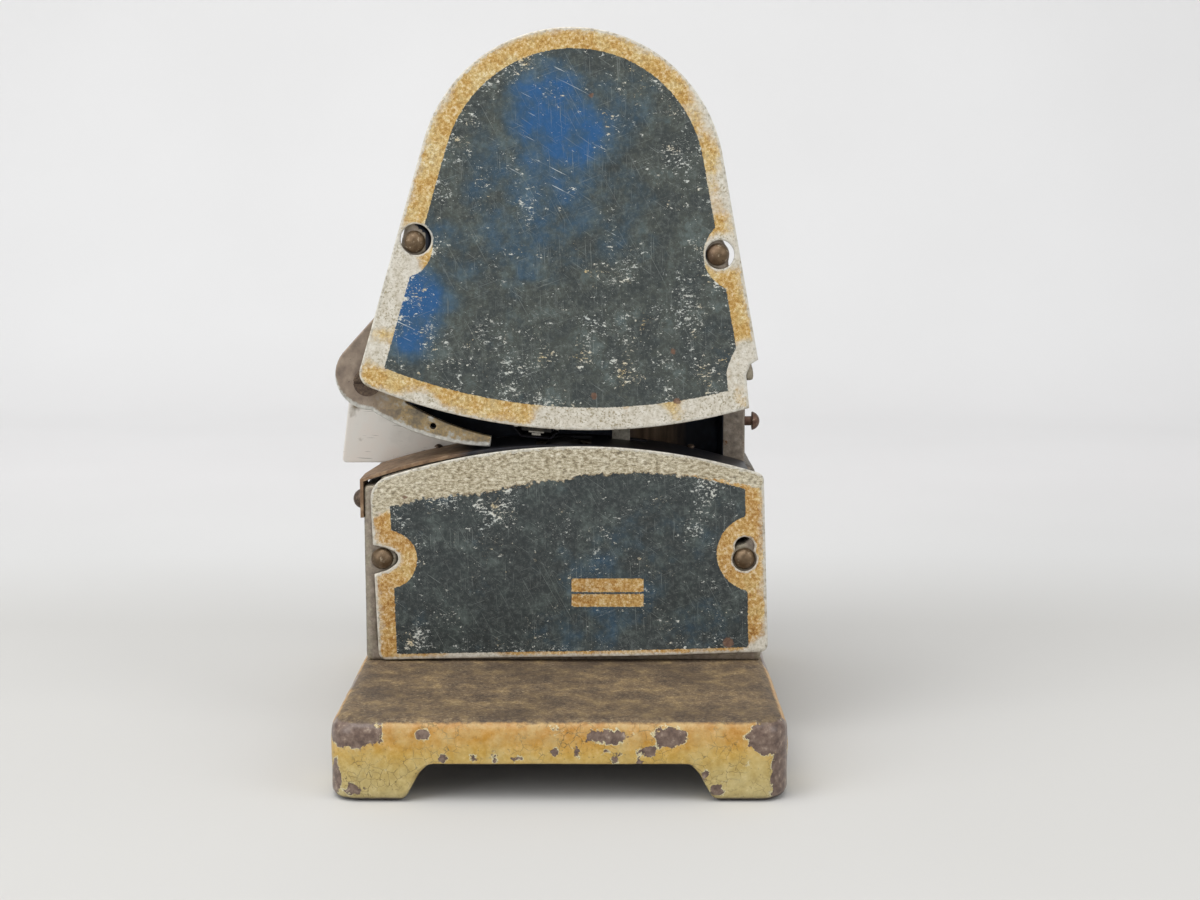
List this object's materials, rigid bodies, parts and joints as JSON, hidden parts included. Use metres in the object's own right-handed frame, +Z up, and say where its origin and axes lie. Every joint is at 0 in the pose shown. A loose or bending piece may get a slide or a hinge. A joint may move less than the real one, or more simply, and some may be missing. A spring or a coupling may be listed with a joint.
{
  "type": "ticket dating machine",
  "caption": "Cast-iron bench machine that stamps the date on card tickets slid through a slot between its arched head and its box.",
  "frame": {"origin": "on the surface that the feet stand on, under the middle of the whole machine with its fence", "axes": "+Z up, +Y from the front plates to the back, +X to the right seen from the front"},
  "size_m": [0.1341, 0.172, 0.2138],
  "materials": {
    "base_enamel": "chipped mustard enamel on cast iron",
    "housing_paint": "dull grey-brown paint on cast iron",
    "rear_paint": "dull grey-brown paint on sheet steel",
    "plate_lacquer": "scratched slate lacquer with a worn gold border",
    "bare_sheet": "bare stained sheet steel",
    "rusty_sheet": "sheet steel browned by rust",
    "worn_steel": "stained steel, bright at its edges",
    "dull_screws": "oxidised steel",
    "ground_steel": "ground steel",
    "spring_wire": "spring wire",
    "dark_steel": "blackened steel",
    "brass_parts": "turned and milled brass",
    "black_rubber": "hard rubber",
    "inked_ribbon": "inked cotton ribbon"
  },
  "bodies": {
    "root": {"base_casting": "base_enamel", "base_screws": "dull_screws", "lower_housing": "housing_paint", "upper_frame": "housing_paint", "frame_screws": "dull_screws", "ticket_deck": "rusty_sheet", "deck_screws": "dull_screws", "ticket_fence": "bare_sheet", "fence_screws": "dull_screws", "side_screw": "dull_screws", "upper_cover_screws": "dull_screws", "lower_cover_screws": "dull_screws", "rear_cover": "rear_paint", "rear_cover_screws": "dull_screws", "lower_rear_cover": "rear_paint", "lower_rear_screws": "dull_screws", "pivot_shaft": "ground_steel", "pivot_nut": "dull_screws", "pivot_collar": "ground_steel", "spool_posts": "ground_steel", "spool_collars": "ground_steel", "swing_stops": "black_rubber", "return_spring": "spring_wire", "spring_anchor": "ground_steel", "platen_bracket": "bare_sheet", "platen_axle": "ground_steel", "platen_screws": "dull_screws", "platen_adjuster": "dull_screws", "platen_lock_nut": "dull_screws", "finger_screw": "dull_screws"},
    "platen": {"platen_roller": "black_rubber"},
    "finger": {"entry_finger": "worn_steel"},
    "pendulum": {"pendulum_arm": "dark_steel", "pendulum_bush": "brass_parts", "type_holder": "dark_steel", "type_slugs": "ground_steel", "type_clamp_screw": "dull_screws", "holder_screws": "dull_screws", "ticket_catch": "worn_steel", "catch_screws": "dull_screws", "ribbon_guides": "ground_steel", "pawl_stud": "dull_screws", "ribbon": "inked_ribbon"},
    "pawl": {"feed_pawl": "worn_steel"},
    "spool_left": {"ribbon_spool_left": "dark_steel"},
    "spool_right": {"ribbon_spool_right": "dark_steel", "ratchet_wheel": "brass_parts"},
    "upper_plate": {"upper_cover": "plate_lacquer"},
    "lower_plate": {"lower_cover": "plate_lacquer"}
  },
  "joints": [
    {"name": "head_swing", "type": "hinge", "parent": "root", "child": "pendulum", "pos_m": [0.00385, 0, 0.188], "axis": [0, -1, 0], "range_deg": [0, 14], "stiffness_Nm_per_rad": 0.06, "springref_deg": -11.46, "deforming": ["ribbon", "return_spring"]},
    {"name": "pawl_swing", "type": "hinge", "parent": "pendulum", "child": "pawl", "pos_m": [0.00585, 0, 0.163], "axis": [0, -1, 0], "range_deg": [-14, 0]},
    {"name": "finger_lift", "type": "hinge", "parent": "root", "child": "finger", "pos_m": [-0.05515, 0, 0.109], "axis": [0, -1, 0], "range_deg": [0, 10]},
    {"name": "platen_spin", "type": "hinge", "parent": "root", "child": "platen", "pos_m": [0.00385, -0.008, 0.0821], "axis": [0, 1, 0], "continuous": true},
    {"name": "spool_right_spin", "type": "hinge", "parent": "root", "child": "spool_right", "pos_m": [0.02645, -0.008, 0.15], "axis": [0, 1, 0], "continuous": true},
    {"name": "spool_left_spin", "type": "hinge", "parent": "root", "child": "spool_left", "pos_m": [-0.01875, -0.008, 0.15], "axis": [0, 1, 0], "continuous": true},
    {"name": "upper_cover_pull", "type": "slide", "parent": "root", "child": "upper_plate", "axis": [0, -1, 0], "range_m": [0, 0.04]},
    {"name": "lower_cover_pull", "type": "slide", "parent": "root", "child": "lower_plate", "axis": [0, -1, 0], "range_m": [0, 0.04]}
  ],
  "couplings": [
    {"joint": "pawl_swing", "follows": "head_swing", "ratio": -1},
    {"joint": "spool_left_spin", "follows": "spool_right_spin", "ratio": 1}
  ]
}
